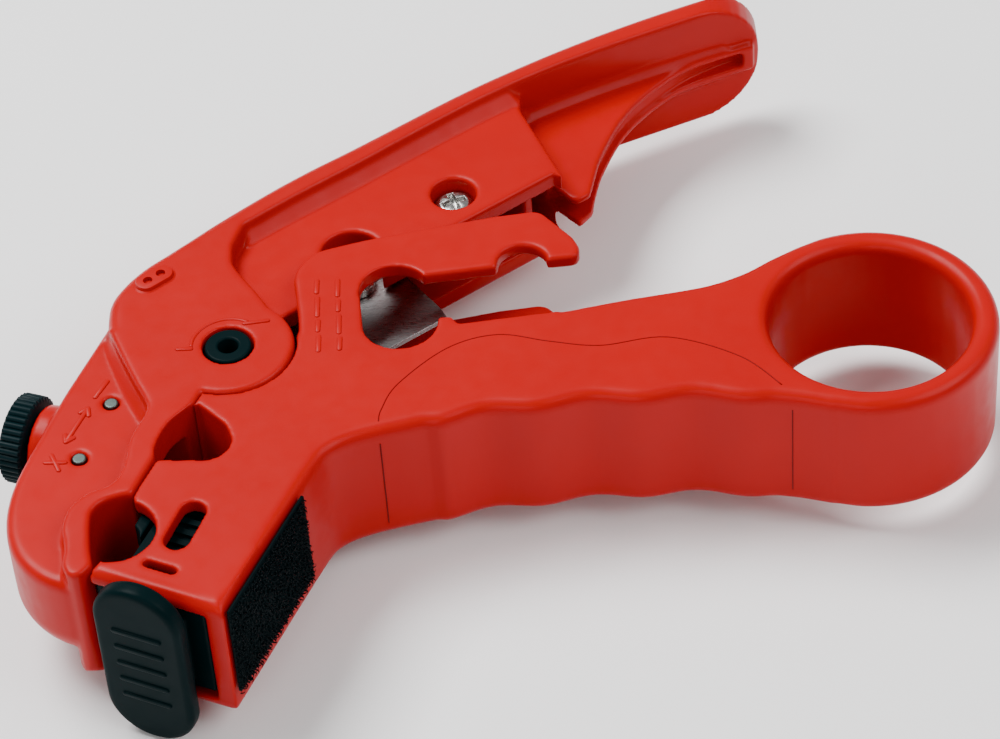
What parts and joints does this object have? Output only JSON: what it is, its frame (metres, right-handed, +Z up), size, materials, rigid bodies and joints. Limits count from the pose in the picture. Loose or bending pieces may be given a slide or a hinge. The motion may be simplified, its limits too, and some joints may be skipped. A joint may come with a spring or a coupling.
{
  "type": "rotary cable stripper and cutter",
  "caption": "Hand tool for cables: two moulded handles on one pivot with a finger ring, a shearing blade between guard plates, stripping holes, a depth knob and a pull-out blade cassette.",
  "frame": {"origin": "middle of the bounding box's base: the tool lies flat on its side, standing on the lower tip of its pull tab", "axes": "+X along the tool from the jaw to the finger ring, +Y across it from the stripping end to the free end of the lever, +Z up through its thickness along the pivot's axis"},
  "size_m": [0.1194, 0.1046, 0.0243],
  "materials": {
    "red_plastic": "semi-gloss moulded red plastic",
    "slate_plastic": "satin dark slate plastic",
    "hook_pad": "coarse black hook fabric",
    "blade_steel": "ground steel",
    "screw_steel": "bright plated steel",
    "spring_steel": "drawn spring wire"
  },
  "bodies": {
    "grip_half": {"main_body": "red_plastic", "pivot_sleeve": "slate_plastic", "return_spring": "spring_steel", "braid_pad": "hook_pad"},
    "lever_half": {"lever": "red_plastic", "cutter_blade": "blade_steel", "blade_screw": "screw_steel", "tie_screw": "screw_steel", "guide_pin_1": "screw_steel", "guide_pin_2": "screw_steel"},
    "adjuster": {"adjuster_knob": "slate_plastic", "adjuster_screw": "screw_steel", "retaining_clip": "spring_steel"},
    "blade_slide": {"blade_carrier": "red_plastic", "carrier_nut": "screw_steel", "stripping_blade": "blade_steel"},
    "cassette": {"cassette_frame": "slate_plastic", "cassette_cover": "slate_plastic", "cassette_blade_1": "blade_steel", "cassette_blade_2": "blade_steel", "cassette_blade_3": "blade_steel"}
  },
  "joints": [
    {"name": "lever_squeeze", "type": "hinge", "parent": "grip_half", "child": "lever_half", "pos_m": [-0.03143, -0.00821, 0.01217], "axis": [0, 0, -1], "range_deg": [0, 27], "stiffness_Nm_per_rad": 0.06, "springref_deg": -28.65, "deforming": ["return_spring"]},
    {"name": "knob_turn", "type": "hinge", "parent": "lever_half", "child": "adjuster", "pos_m": [-0.05633, -0.0124, 0.01217], "axis": [0.9252, -0.3795, 0], "range_deg": [-360, 720]},
    {"name": "carrier_slide", "type": "slide", "parent": "lever_half", "child": "blade_slide", "axis": [0.9252, -0.3795, 0], "range_m": [-0.0005, 0.001]},
    {"name": "cassette_slide", "type": "slide", "parent": "grip_half", "child": "cassette", "axis": [-0.4493, -0.8934, 0], "range_m": [0, 0.02]}
  ],
  "couplings": [
    {"joint": "knob_turn", "follows": "carrier_slide", "rad_per_m": 12566}
  ]
}
